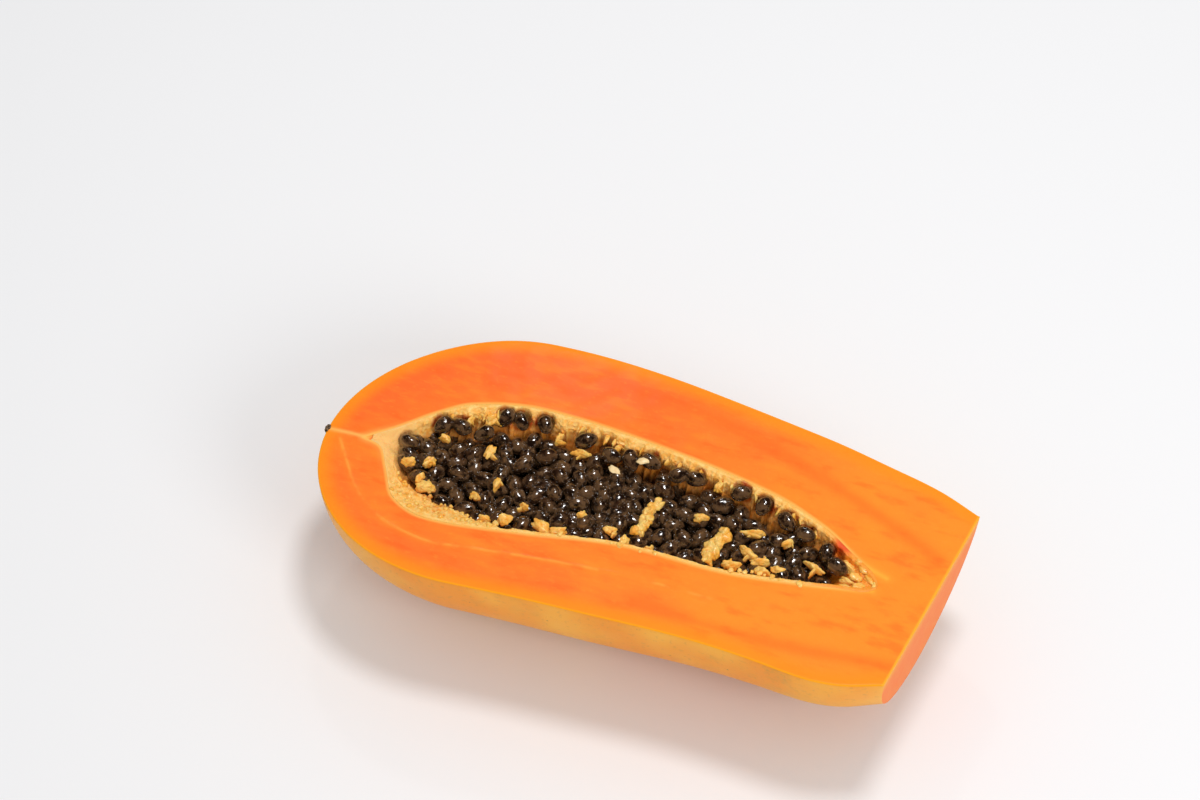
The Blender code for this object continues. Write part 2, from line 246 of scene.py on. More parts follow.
def face_point(i, j):
    """Corner of the cut face, j rings in from its outline. It drops at its edges and rises along the vein."""
    share = (1 - math.cos(math.pi * j / FACE_RINGS)) / 2
    flat = outline[i].lerp(inline[i], share)
    from_edge, from_rim = (flat - outline[i]).length, (flat - inline[i]).length
    rows = len(skin_rows) - 1
    at_end = rows <= i <= rows + SKIN_SIDES
    drop = 0.0 if at_end else EDGE_DROP * math.exp(-from_edge / EDGE_WIDTH)
    drop += RIM_DROP * math.exp(-from_rim / RIM_WIDTH)
    inland = ramp(from_edge, 0, CALM_STRIP) * ramp(from_rim, 0, CALM_STRIP)
    swell = FACE_SWELL * (noise.noise(flat * 0.045) + 0.4 * noise.noise(flat * 0.16)) * inland
    rise = VEIN_RISE * math.exp(-(vein_tree.find(flat)[2] / VEIN_WIDTH) ** 2) * inland
    return Vector((flat.x, flat.y, swell + rise - drop))


def skin_place(i, j):
    point = skin_point(skin_rows[i], math.pi * j / SKIN_SIDES)
    last = i == len(skin_rows) - 1
    return Vector((point.x, point.y, point.z if last else min(point.z, -EDGE_DROP)))


def end_place(i, j):
    top = far_corner.lerp(near_corner, j / SKIN_SIDES)
    below = skin_point(LENGTH, math.pi * j / SKIN_SIDES)
    return top.lerp(below, i / END_RINGS)


def hollow_place(i, j):
    point = hollow_point(rim_rows[i], math.pi * j / HOLLOW_SIDES)
    return Vector((point.x, point.y, min(point.z, -RIM_DROP)))


half = bmesh.new()
add_sheet(half, len(skin_rows) - 1, SKIN_SIDES, skin_place, material=1)
skin_tree = BVHTree.FromBMesh(half)
add_sheet(half, ring_length, FACE_RINGS, face_point)
add_sheet(half, END_RINGS, SKIN_SIDES, end_place)
add_sheet(half, len(rim_rows) - 1, HOLLOW_SIDES, hollow_place)
bmesh.ops.remove_doubles(half, verts=half.verts, dist=SEAM_WELD)

band_trees = [line_tree(FAR_BAND_LINE), line_tree(NEAR_BAND_LINE)]
core_tree = line_tree(CORE_LINE, 0.1)
streak_trees = [line_tree(streak, 0.1) for streak in END_STREAKS]
half_marks = {"rind": [], "vein": [], "band": [], "core": [], "streak": [], "end": [], "rim": []}
rim_tree = tree_of(inline)
for corner in half.verts:
    flat = Vector((corner.co.x, corner.co.y, 0))
    half_marks["rind"].append(skin_tree.find_nearest(corner.co)[3])
    half_marks["vein"].append(vein_tree.find(corner.co)[2])
    half_marks["band"].append(min(tree.find(flat)[2] for tree in band_trees))
    half_marks["core"].append(core_tree.find(corner.co)[2])
    half_marks["streak"].append(min(tree.find(corner.co)[2] for tree in streak_trees))
    half_marks["rim"].append(rim_tree.find(corner.co)[2])
    slant = corner.co.y * math.tan(END_SKEW) + corner.co.z * math.tan(END_LEAN)
    half_marks["end"].append(LENGTH + slant - corner.co.x)


class Value:
    """A socket of a finish to reckon with: sums, products and quotients of it add Math nodes."""

    def __init__(self, finish, socket):
        self.finish = finish
        self.socket = socket

    def math(self, operation, *values):
        return self.finish.node("Math", {"operation": operation}, dict(enumerate(values)))

    def __add__(self, other):
        return self.math("ADD", self, other)

    def __sub__(self, other):
        return self.math("SUBTRACT", self, other)

    def __rsub__(self, other):
        return self.math("SUBTRACT", other, self)

    def __mul__(self, other):
        return self.math("MULTIPLY", self, other)

    def __truediv__(self, other):
        return self.math("DIVIDE", self, other)

    def __neg__(self):
        return self.math("MULTIPLY", self, -1.0)

    __radd__ = __add__
    __rmul__ = __mul__

    def bell(self, width):
        """1 where the value is 0, falling off over a width."""
        return self.math("EXPONENT", -((self / width) * (self / width)))

    def step(self, low, high):
        """0 below low, 1 above high, and smooth between; falls where high is the lower one."""
        start, end = (1.0, 0.0) if high < low else (0.0, 1.0)
        reach = {"From Min": min(low, high), "From Max": max(low, high), "To Min": start, "To Max": end}
        return self.finish.node("MapRange", {"interpolation_type": "SMOOTHSTEP"}, {"Value": self, **reach},
                                output="Result")


def tint(red, green, blue):
    """Colour as a shader takes it, from the 0 to 255 values that it shows as."""
    return tuple(((part / 255 + 0.055) / 1.055) ** 2.4 for part in (red, green, blue))


class Finish:
    """A material with a Principled surface, whose pattern follows the place on the piece."""

    def __init__(self, name, **constants):
        self.material = bpy.data.materials.new(name)
        self.material.use_nodes = True
        self.tree = self.material.node_tree
        self.surface = self.tree.nodes["Principled BSDF"]
        for socket, value in constants.items():
            self.surface.inputs[socket.replace("_", " ")].default_value = value
        self.here = self.node("TexCoord", output="Object")

    def put(self, value, socket):
        """Link a value into a socket, or set the socket to a number or a colour."""
        if isinstance(value, Value):
            self.tree.links.new(value.socket, socket)
        elif isinstance(value, tuple) and len(value) == 3 and len(socket.default_value) == 4:
            socket.default_value = (*value, 1.0)
        else:
            socket.default_value = value

    def node(self, kind, settings=None, sockets=None, output=0):
        """One of the outputs of a new node, made with its settings first and then its sockets."""
        made = self.tree.nodes.new("ShaderNode" + kind)
        for setting, value in (settings or {}).items():
            setattr(made, setting, value)
        for place, value in (sockets or {}).items():
            self.put(value, made.inputs[place])
        return Value(self, made.outputs[output])

    def mark(self, key):
        """Value that make_piece keeps at the corners."""
        return self.node("Attribute", {"attribute_name": key}, output="Fac")

    def place(self, axis):
        """Distance in millimetres from the tip along an axis, as the shapes are given."""
        part = self.node("SeparateXYZ", None, {0: self.here}, output=axis)
        return part * 1000 - PLACE["XYZ".index(axis)]

    def away_from(self, point):
        """Distance in millimetres from a point given as the shapes are."""
        middle = tuple((Vector(point) + PLACE) * MM)
        apart = self.node("VectorMath", {"operation": "DISTANCE"}, {0: self.here, 1: middle}, output="Value")
        return apart * 1000

    def cloud(self, size, detail, stretch=(1, 1, 1)):
        """Noise from 0 to 1 with spots of about a size in millimetres."""
        spread = self.node("Mapping", None, {"Vector": self.here, "Scale": stretch})
        return self.node("TexNoise", None, {"Vector": spread, "Scale": 1000 / size, "Detail": detail})

    def cells(self, size):
        """Distance from scattered points that are about a size in millimetres apart."""
        return self.node("TexVoronoi", None, {"Vector": self.here, "Scale": 1000 / size})

    def blend(self, share, first, second):
        """The first colour where the share is 0, the second where it is 1."""
        return self.node("Mix", {"data_type": "RGBA"}, {0: share, 6: first, 7: second}, output=2)

    def wear(self, color, roughness, height=None, strength=0.3, distance=0.0005):
        """Link colour and roughness to the surface, and a height that its bumps follow."""
        self.put(color, self.surface.inputs["Base Color"])
        self.put(roughness, self.surface.inputs["Roughness"])
        if height is not None:
            bump = self.node("Bump", None, {"Strength": strength, "Distance": distance, "Height": height})
            self.put(bump, self.surface.inputs["Normal"])
        return self


def flesh_finish():
    flesh = Finish("moist_flesh", Subsurface_Weight=0.05, Subsurface_Radius=(1.0, 0.25, 0.05),
                   Subsurface_Scale=0.002, Coat_Weight=0.04, Coat_Roughness=0.15, Specular_IOR_Level=0.18)
    along = flesh.place("X")
    rind, vein, band, rim = (flesh.mark(key) for key in ("rind", "vein", "band", "rim"))
    core, streak, end = (flesh.mark(key) for key in ("core", "streak", "end"))
    broad, fine = flesh.cloud(24, 3), flesh.cloud(4, 4, (0.35, 1, 1))
    pores = flesh.cloud(1.3, 3, (0.5, 1, 1))
    red, orange = tint(254, 106, 34), tint(254, 141, 32)
    near_side = flesh.place("Y").step(8, -14)
    color = flesh.blend(near_side * 0.3 + along.step(74, 190) * 0.92 + (broad - 0.5) * 0.8, red, orange)
    color = flesh.blend(rim.step(14, 0) * 0.35, color, tint(254, 134, 28))
    color = flesh.blend(fine.step(0.5, 0.72) * 0.4, color, tint(250, 90, 8))
    color = flesh.blend(fine.step(0.5, 0.3) * 0.3, color, tint(255, 146, 36))
    color = flesh.blend(pores.step(0.55, 0.75) * 0.2, color, tint(255, 154, 48))
    ragged = band + (broad - 0.5) * 5 + (fine - 0.5) * 2
    color = flesh.blend(ragged.bell(2.6) * along.step(80, 135) * 0.45, color, tint(252, 96, 10))
    color = flesh.blend((rind + (broad - 0.5) * 2.5).step(7.5, 0.8) * 0.85, color, tint(254, 142, 6))
    color = flesh.blend(rind.step(0.9, 0.2), color, tint(254, 162, 16))
    patchy = flesh.cloud(7, 2).step(0.35, 0.6)
    color = flesh.blend(vein.bell(0.5) * patchy * 0.7, color, tint(255, 170, 70))
    color = flesh.blend(vein.bell(2.0) * patchy * 0.3, color, tint(255, 146, 30))
    color = flesh.blend(core.bell(0.8) * 0.8, color, tint(254, 186, 92))
    color = flesh.blend(streak.bell(0.9) * 0.6 + streak.bell(2.6) * 0.25, color, tint(254, 172, 52))
    color = flesh.blend(rim.step(3, 0) * along.step(28, 12) * 0.6, color, tint(254, 178, 84))
    color = flesh.blend(rim.step(1.3, 0.1) * along.step(192, 176) * 0.85, color, tint(253, 186, 88))
    pale = flesh.blend(fine, tint(255, 116, 40), tint(255, 148, 62))
    color = flesh.blend(end.step(0.5, 0.1), color, pale)
    color = flesh.blend(end.step(1.0, 0.1) * flesh.place("Z").step(-8, 0) * 0.7, color, tint(254, 186, 40))
    grain = flesh.cloud(0.9, 3) + flesh.cloud(3.5, 2, (0.4, 1, 1))
    return flesh.wear(color, 0.48 + broad * 0.16, grain, 0.25, 0.0003)


def skin_finish():
    skin = Finish("waxy_skin", Coat_Weight=0.12, Coat_Roughness=0.3, Specular_IOR_Level=0.35,
                  Subsurface_Weight=0.06, Subsurface_Radius=(1.0, 0.4, 0.1), Subsurface_Scale=0.002)
    broad, blotch, fine = skin.cloud(34, 3), skin.cloud(9, 4), skin.cloud(1.6, 4)
    color = skin.blend(broad.step(0.35, 0.68), tint(253, 180, 54), tint(248, 152, 24))
    color = skin.blend(blotch.step(0.5, 0.74) * 0.45, color, tint(230, 154, 52))
    color = skin.blend(fine.step(0.55, 0.72) * 0.25, color, tint(190, 132, 56))
    green = skin.cloud(18, 2).step(0.6, 0.75) * skin.cloud(2.2, 3).step(0.45, 0.6)
    color = skin.blend(green * 0.16, color, tint(160, 150, 60))
    specks = skin.cells(5.5).step(0.09, 0.04) * skin.cloud(14, 1).step(0.48, 0.6)
    color = skin.blend(specks * 0.75, color, tint(120, 78, 34))
    return skin.wear(color, 0.4 + blotch * 0.16, skin.cloud(1.1, 3) + broad * 2, 0.2, 0.0003)


make_piece("cut_half", half, [flesh_finish(), skin_finish()], "flesh", half_marks)

# Blossom scar: the dry, crusted button at the tip where the flower sat. It grew with the fruit and was
# halved with it.
SCAR_MIDDLE = Vector((-0.1, -4.6, -0.35))
SCAR_SIZE = Vector((0.9, 1.6, 1.3))
SCAR_TOP = 0.05

scar = bmesh.new()
bmesh.ops.create_icosphere(scar, subdivisions=4, radius=1.0)
for corner in scar.verts:
    crust = 1 + 0.25 * noise.noise(corner.co * 2.1) + 0.16 * noise.noise(corner.co * 6.0)
    corner.co = Vector(a * b for a, b in zip(corner.co, SCAR_SIZE)) * crust + SCAR_MIDDLE
bmesh.ops.bisect_plane(scar, geom=scar.verts[:] + scar.edges[:] + scar.faces[:],
                       plane_co=(0, 0, SCAR_TOP), plane_no=(0, 0, 1), clear_outer=True)
bmesh.ops.edgeloop_fill(scar, edges=[edge for edge in scar.edges if edge.is_boundary])
dry = Finish("dry_scar")
brown = dry.blend(dry.cloud(0.7, 4).step(0.35, 0.65), tint(52, 36, 24), tint(150, 118, 84))
dry.wear(brown, 0.75, dry.cloud(0.3, 3), 0.5, 0.0003)
make_piece("blossom_scar", scar, [dry])

# Lining: pale spongy pulp that lines the hollow. Its cut rim is flush with the cut face. Below it the
# wall is torn into fins and crumbs, with a socket round each seed that it held.
LINING_FROM, LINING_TO = 15.5, 191.95
BED_FROM, BED_TO = 23.0, 189.0
FAR_BAND = [(23, 2.4), (60, 3.4), (120, 3.0), (189, 1.6)]
NEAR_BAND = [(23, 3.0), (36, 8.5), (50, 6.5), (72, 1.8), (189, 1.4)]
BED_FLOOR = [(23, 1.6), (60, 3.6), (140, 3.6), (189, 1.6)]
WALL_SLOPE = 1.25
LINING_ROWS = 520                       # rows of squares along the lining, and squares over each part
BAND_CELLS, BED_CELLS, HULL_CELLS = 18, 96, 12
LINING_WELD = 0.0002
FAR_FALL, FAR_CUT = 0.85, 1.4           # how steeply the wall falls off, and the width of its cut rim
NEAR_FALL, NEAR_CUT = 0.42, 0.9
SIDE_BLEND = 4.0                        # width over which the near wall's form turns into the far wall's
NOTCH_FROM, NOTCH_SPAN, NOTCH_LEAST = 16, 14, 0.25      # the cut rim narrows into the notch at the tip
SHELF = [(23, 5.0), (30, 9.0), (36, 11.0), (44, 11.0), (50, 8.5), (58, 4.5), (72, 2.0), (189, 1.4)]
SHELF_FALL, NO_SHELF = 1.6, 30.0        # fall past the near wall's shelf, and what rules one out opposite
BED_SHARE = 0.85                        # share of the hollow's depth that the bed may take
STEM_RISE = [(174, 0.0), (184, 0.75), (192, 0.9)]       # share of that which pulp fills near the stem
FIN_HEIGHT, GRAIN_HEIGHT = 1.1, 0.5
TORN_FROM, TORN_SPAN = 0.9, 2.0         # distance from the rim at which the wall is torn
RAGGED_FROM, RAGGED_TO = 24, 190        # the pulp is smooth before and past these, and rough in between
TIP_SPAN, STEM_SPAN = 8, 6              # distances over which that changes
SMOOTH_SHARE = 0.25                     # what is left of the unevenness on the smooth parts
TORN_RISE = 0.6                         # height that goes with a sideways bulge
SEED_LENGTH, SEED_WIDTH, SEED_TAPER, SEED_SPACING = 7.2, 5.6, 0.12, 4.9
SOCKET, SOCKET_FREE = 3.3, 0.9          # reach of a seed's socket, and the strip at the rim without any
SOCKET_LIFT, SOCKET_ROUND = 0.6, 0.85   # a socket's middle, above its seed's, and how round its bowl is
PILE_LEVEL = [(23, -4.2), (40, -4.6), (70, -5.2), (130, -5.2), (165, -4.6), (189, -3.9)]
CORE_DROP, CORE_FILL = 3.2, 0.7         # the seeds at the bottom lie this far under the pile's level
SEED_SUNK, WALL_GAP = 0.2, 0.3
SPOTS_TRIED, SPOT_STEP = 2000, 0.5
DRAW = 11
LAST_SEED = 178.5
LOOSE_FROM, LOOSE_TO = 27.5, 177.0      # reach of the loose seeds along the bed
FROM_NEAR, FROM_FAR = 4.1, 4.6          # and how far they stay from its rims
HIDDEN_UNDER, SHOWN_APART = 3.6, 5.9    # distances in plan at which a seed is hidden, and shows whole
NUDGES = 40
# How far the seeds reach over the near shelf, and the ones that still sit in the far wall.
NEAR_SEEDS = [(24, -0.5), (30, -6.5), (36, -10.8), (43, -15.2), (50, -18.2), (56, -20.6), (66, -24),
              (190, -24)]
WALL_SEEDS = [(26.6, 1.2, -3.4), (35.3, 11.4, -2.7), (41.2, 12.8, -2.6), (49.5, 12.6, -2.6),
              (53.9, 21.6, -3.0), (59.4, 22.2, -3.0), (67.5, 23.4, -3.0), (82.9, 20.9, -2.4),
              (93.2, 17.8, -2.4), (99.8, 18.2, -2.4), (106.4, 19.9, -2.5), (117.2, 17.8, -2.5),
              (123.0, 18.1, -2.6), (139.0, 17.6, -2.6), (147.4, 14.9, -2.6), (156.4, 11.4, -2.6),
              (163.8, 8.3, -2.5), (172.6, 3.6, -2.4), (177.4, -1.0, -2.0)]
RED_SPOT = (177.5, 6.8, -1)             # ripe red flesh shows where the lining came away


def bed_section(along):
    """Middle, half width and depth of the seeds' bed at a distance along."""
    far = smooth_curve(FAR_RIM, along) - smooth_curve(FAR_BAND, along)
    near = smooth_curve(NEAR_RIM, along) + smooth_curve(NEAR_BAND, along)
    depth = smooth_curve(HOLLOW_DEPTH, along) - smooth_curve(BED_FLOOR, along)
    closing = rounding(min(along - BED_FROM, BED_TO - along))
    return (far + near) / 2, (far - near) / 2 * closing, depth * closing


def bed_point(along, turn):
    """Point of the bed, with the same turns as the skin's."""
    middle, half_width, depth = bed_section(along)
    z = -depth * max(0.0, math.sin(turn)) ** WALL_SLOPE
    return Vector((along, middle + half_width * math.cos(turn), z))


def core_top(along):
    """Height on which the lowest seeds of the pile rest."""
    return max(smooth_curve(PILE_LEVEL, along) - CORE_DROP, -CORE_FILL * bed_section(along)[2])


def pile_of_seeds():
    """Middles of the seeds: each one drops where it comes to rest lowest, until the bed is full."""
    draw = np.random.RandomState(DRAW)
    radius = SEED_SPACING / 2
    reach = np.arange(BED_FROM + radius, BED_TO - radius, SPOT_STEP)
    middles, halves, depths = np.array([bed_section(along) for along in reach]).T
    levels = np.array([smooth_curve(PILE_LEVEL, along) for along in reach])
    floors = np.array([core_top(along) for along in reach]) + SEED_SUNK * radius
    seeds = np.empty((0, 3))
    while True:
        spot = draw.randint(len(reach), size=SPOTS_TRIED)
        across = draw.uniform(-1, 1, size=SPOTS_TRIED)
        x, y = reach[spot], middles[spot] + across * halves[spot]
        apart = (x[:, None] - seeds[:, 0]) ** 2 + (y[:, None] - seeds[:, 1]) ** 2
        on_seed = seeds[:, 2] + np.sqrt(np.maximum(SEED_SPACING ** 2 - apart, 0))
        touching = np.where(apart < SEED_SPACING ** 2, on_seed, floors[spot][:, None])
        rest = np.maximum(floors[spot], touching.max(axis=1, initial=-math.inf))
        wall_share = np.clip(-rest / depths[spot], 0, 1) ** (1 / WALL_SLOPE)
        room = halves[spot] * np.sqrt(1 - wall_share ** 2) - SEED_WIDTH / 2 - WALL_GAP
        above = np.where(np.abs(y - middles[spot]) < room, rest - levels[spot], math.inf)
        lowest = above.argmin()
        if above[lowest] > 0:
            return [Vector(seed) for seed in seeds]
        seeds = np.vstack([seeds, (x[lowest], y[lowest], rest[lowest])])


def apart_in_plan(seed, other):
    return math.hypot(seed.x - other.x, seed.y - other.y)


def seed_middles():
    """The pile, with the seeds that still sit high in the far wall, and bare pulp at both ends.

    A seed that lies hidden under others is left out. The rest are nudged sideways until each one shows
    whole, as their slippery coats keep them apart.
    """
    wall = [Vector(seed) for seed in WALL_SEEDS]
    loose = []
    for seed in sorted(pile_of_seeds(), key=lambda seed: -seed.z):
        if seed.x < LAST_SEED and all(apart_in_plan(seed, other) > HIDDEN_UNDER for other in wall + loose):
            loose.append(seed)
    for _ in range(NUDGES):
        for number, seed in enumerate(loose):
            for other in wall + loose[:number]:
                apart = apart_in_plan(seed, other)
                if 0 < apart < SHOWN_APART:
                    push = (seed - other) * ((SHOWN_APART - apart) / apart / 2)
                    seed.x += push.x
                    seed.y += push.y
            seed.x = min(max(seed.x, LOOSE_FROM), LOOSE_TO)
            nearest = max(smooth_curve(NEAR_SEEDS, seed.x), smooth_curve(NEAR_RIM, seed.x) + FROM_NEAR)
            seed.y = max(nearest, min(seed.y, smooth_curve(FAR_RIM, seed.x) - FROM_FAR))
    return wall + loose


seeds = seed_middles()
seed_tree = tree_of(seeds)
seed_plan = tree_of([Vector((seed.x, seed.y, 0)) for seed in seeds])


def wall_height(along, y, bed_z):
    """Height of the lining's surface before it is torn, how far in it is, and its share of the far wall."""
    far, near = smooth_curve(FAR_RIM, along), smooth_curve(NEAR_RIM, along)
    closing = rounding(HOLLOW_TO - along)
    middle, half_width = (far + near) / 2, (far - near) / 2 * closing
    from_rim = max(0.0, half_width - abs(y - middle))
    far_share = ramp(y - middle, -SIDE_BLEND / 2, SIDE_BLEND)
    notch = max(NOTCH_LEAST, ramp(along, NOTCH_FROM, NOTCH_SPAN))
    fall = NEAR_FALL + (FAR_FALL - NEAR_FALL) * far_share
    cut = (NEAR_CUT + (FAR_CUT - NEAR_CUT) * far_share) * notch
    past_shelf = max(0.0, from_rim - smooth_curve(SHELF, along))
    shelf = -NEAR_FALL * from_rim - SHELF_FALL * past_shelf - NO_SHELF * far_share
    z = min(max(bed_z, shelf), -fall * max(0.0, from_rim - cut))
    across = min(1.0, abs(y - middle) / max(half_width, 0.01))
    hull = -smooth_curve(HOLLOW_DEPTH, along) * closing * math.sqrt(1 - across ** 2)
    z = max(z, BED_SHARE * (1 - smooth_curve(STEM_RISE, along)) * hull)
    return z - RIM_DROP * math.exp(-from_rim / RIM_WIDTH), from_rim, far_share


def lining_place(i, j):
    """Corner of the lining: over its far rim, down its bed, over its near rim, and back under its hull."""
    along = LINING_FROM + (LINING_TO - LINING_FROM) * i / LINING_ROWS
    far, near = hollow_point(along, 0.0), hollow_point(along, math.pi)
    inside = min(max(along, BED_FROM), BED_TO)
    if j > 2 * BAND_CELLS + BED_CELLS:
        hull = hollow_point(along, math.pi * (1 - (j - 2 * BAND_CELLS - BED_CELLS) / HULL_CELLS))
        return Vector((along, hull.y, min(hull.z, -RIM_DROP)))
    if j <= BAND_CELLS:
        point = far.lerp(bed_point(inside, 0.0), j / BAND_CELLS)
    elif j <= BAND_CELLS + BED_CELLS:
        point = bed_point(inside, math.pi * (1 - math.cos(math.pi * (j - BAND_CELLS) / BED_CELLS)) / 2)
    else:
        point = bed_point(inside, math.pi).lerp(near, (j - BAND_CELLS - BED_CELLS) / BAND_CELLS)
    z, from_rim, far_share = wall_height(along, point.y, point.z)
    torn = ramp(from_rim, TORN_FROM, TORN_SPAN)
    lump = noise.noise(Vector((along * 0.42, point.y * 0.42, z * 0.18 + 7)))
    grain = noise.noise(Vector((along * 1.3, point.y * 1.3, z * 0.9)))
    crumb = noise.noise(Vector((along * 2.9, point.y * 2.9, z * 2.4)))
    fin = max(0.0, 1 - 4 * abs(noise.noise(Vector((along * 0.34, z * 0.05, 3.3)))))
    ragged = ramp(along, RAGGED_FROM, TIP_SPAN) * ramp(RAGGED_TO - along, 0, STEM_SPAN)
    rough = (1.2 * lump + 0.9 * grain + 0.7 * crumb) * GRAIN_HEIGHT * torn
    rough *= SMOOTH_SHARE + (1 - SMOOTH_SHARE) * ragged
    rough += FIN_HEIGHT * fin * torn * far_share * ragged
    y = point.y + rough * (1 - 2 * far_share)
    z += rough * TORN_RISE
    _, number, reach = seed_plan.find(Vector((along, y, 0)))
    if reach < SOCKET and from_rim > SOCKET_FREE:
        bowl = SOCKET_ROUND * math.sqrt(SOCKET ** 2 - reach ** 2)
        z = min(z, seeds[number].z + SOCKET_LIFT - bowl)
    return Vector((along, y, z))


lining = bmesh.new()
add_sheet(lining, LINING_ROWS, 2 * BAND_CELLS + BED_CELLS + HULL_CELLS, lining_place)
bmesh.ops.remove_doubles(lining, verts=lining.verts, dist=LINING_WELD)
bmesh.ops.holes_fill(lining, edges=[edge for edge in lining.edges if edge.is_boundary], sides=0)
lining_marks = {"seed": [seed_tree.find(corner.co)[2] for corner in lining.verts],
                "rim": [rim_tree.find(corner.co)[2] for corner in lining.verts]}


def lining_finish():
    pulp = Finish("spongy_lining", Subsurface_Weight=0.2, Subsurface_Radius=(1.0, 0.5, 0.2),
                  Subsurface_Scale=0.002, Specular_IOR_Level=0.35, Coat_Weight=0.15, Coat_Roughness=0.2)
    seed, rim = pulp.mark("seed"), pulp.mark("rim")
    depth, along = -pulp.place("Z"), pulp.place("X")
    lumps, grain, fine = pulp.cloud(5, 3), pulp.cloud(1.6, 4), pulp.cloud(0.7, 3)
    color = pulp.blend(grain.step(0.35, 0.65), tint(255, 203, 116), tint(253, 180, 78))
    color = pulp.blend(rim.step(0.8, 0.1) * along.step(186, 172), color, tint(253, 188, 90))
    color = pulp.blend(grain.step(0.5, 0.72) * depth.step(0.8, 2.5) * 0.7, color, tint(248, 160, 44))
    color = pulp.blend(lumps.step(0.56, 0.7) * depth.step(0.8, 2.5) * 0.5, color, tint(240, 126, 34))
    # Painted shade: dark brown specks on the torn wall below the rim stand for its shaded pits.
    color = pulp.blend((fine * lumps).step(0.34, 0.44) * depth.step(1.5, 3) * 0.6, color, tint(176, 76, 18))
    wet = (seed + (lumps - 0.5) * 2.4).step(4.9, 3.5)
    color = pulp.blend(wet * (0.2 + lumps.step(0.42, 0.58) * 0.75), color, tint(178, 46, 8))
    # Painted shade: the lining turns a darker orange-brown deeper in the hollow, and deep brown at its bottom
    # among the seeds.
    color = pulp.blend(depth.step(2.5, 7) * 0.75, color, tint(214, 124, 38))
    color = pulp.blend(depth.step(7.5, 11), color, tint(96, 46, 12))
    color = pulp.blend(along.step(164, 180) * 0.85, color, tint(254, 146, 24))
    color = pulp.blend(pulp.away_from(RED_SPOT).step(5.5, 1.5) * 0.85, color, tint(236, 58, 12))
    color = pulp.blend(along.step(34, 20) * 0.85, color, tint(255, 196, 118))
    return pulp.wear(color, 0.5 - lumps * 0.1 - wet * 0.25, grain + fine, 0.5, 0.0005)


make_piece("hollow_lining", lining, [lining_finish()], "lining", lining_marks)

# Seeds: each is egg-shaped, wrinkled and wrapped in a clear wet coat, which holds it to its neighbours.
# They lie in a pile, and lower ones show between the upper ones.
SEED_SIZES = 0.98, 1.12
MOST_TILT = 0.45
SLIMMER = 0.95              # the coat draws in round the middle of a seed and stands off its ends
LOWER_PITCH = 6.0
LOWER_ROW = 0.866 * LOWER_PITCH
LOWER_FROM = BED_FROM + 5
LOWER_DROP = 6.8            # middles of the lower seeds, below the level of the pile
LOWER_REACH = 0.84          # share of the bed's half width
LOWER_SHIFT = 0.6


def add_seed(form, middle, draw, fineness):
    """Add an egg-shaped seed with a wrinkled coat, lying at a random heading."""
    corners = bmesh.ops.create_icosphere(form, subdivisions=fineness, radius=1.0)["verts"]
    lying = Euler((draw.uniform(0, math.tau), math.pi / 2 + draw.uniform(-MOST_TILT, MOST_TILT), 0))
    turn = Matrix.Rotation(draw.uniform(0, math.tau), 3, "Z") @ lying.to_matrix()
    size = draw.uniform(*SEED_SIZES)
    own = middle * 0.37
    for corner in corners:
        slim = (1 - SEED_TAPER * corner.co.z) * SEED_WIDTH / 2 * SLIMMER
        wrinkle = 1 + 0.09 * noise.noise(corner.co * 1.2 + own) + 0.025 * noise.noise(corner.co * 3.0 + own)
        shape = Vector((corner.co.x * slim, corner.co.y * slim, corner.co.z * SEED_LENGTH / 2 / SLIMMER))
        corner.co = turn @ shape * wrinkle * size + middle


def seed_finish():
    seed = Finish("wet_seed", Coat_Weight=1.0, Coat_Roughness=0.035, Coat_IOR=1.6, Specular_IOR_Level=0.9)
    broad, wrinkles, fine = seed.cloud(6, 2), seed.cloud(2.2, 2), seed.cloud(0.8, 3)
    color = seed.blend(wrinkles.step(0.38, 0.62), tint(31, 16, 8), tint(100, 72, 47))
    color = seed.blend(broad.step(0.5, 0.72) * 0.5, color, tint(62, 34, 17))
    color = seed.blend(fine.step(0.56, 0.72) * 0.4, color, tint(132, 106, 76))
    return seed.wear(color, 0.1 + fine * 0.12, wrinkles + fine * 0.25, 0.45, 0.0006)


seed_coat = seed_finish()
draw = random.Random(DRAW)
pile = bmesh.new()
for middle in seeds:
    add_seed(pile, middle, draw, 3)
make_piece("seed_pile", pile, [seed_coat], "seeds")

lower = bmesh.new()
for row in range(int((LAST_SEED - BED_FROM) / LOWER_ROW)):
    along = LOWER_FROM + row * LOWER_ROW
    middle, half_bed, depth = bed_section(along)
    for number in range(int(2 * half_bed / LOWER_PITCH) + 1):
        shift = draw.uniform(-LOWER_SHIFT, LOWER_SHIFT)
        y = middle - half_bed + (number + 0.5 * (row % 2)) * LOWER_PITCH + shift
        z = max(smooth_curve(PILE_LEVEL, along) - LOWER_DROP, -depth + SEED_WIDTH / 2)
        if abs(y - middle) < LOWER_REACH * half_bed and y > smooth_curve(NEAR_SEEDS, along):
            x = along + draw.uniform(-LOWER_SHIFT, LOWER_SHIFT)
            add_seed(lower, Vector((x, y, z)), draw, 2)
make_piece("lower_seeds", lower, [seed_coat])

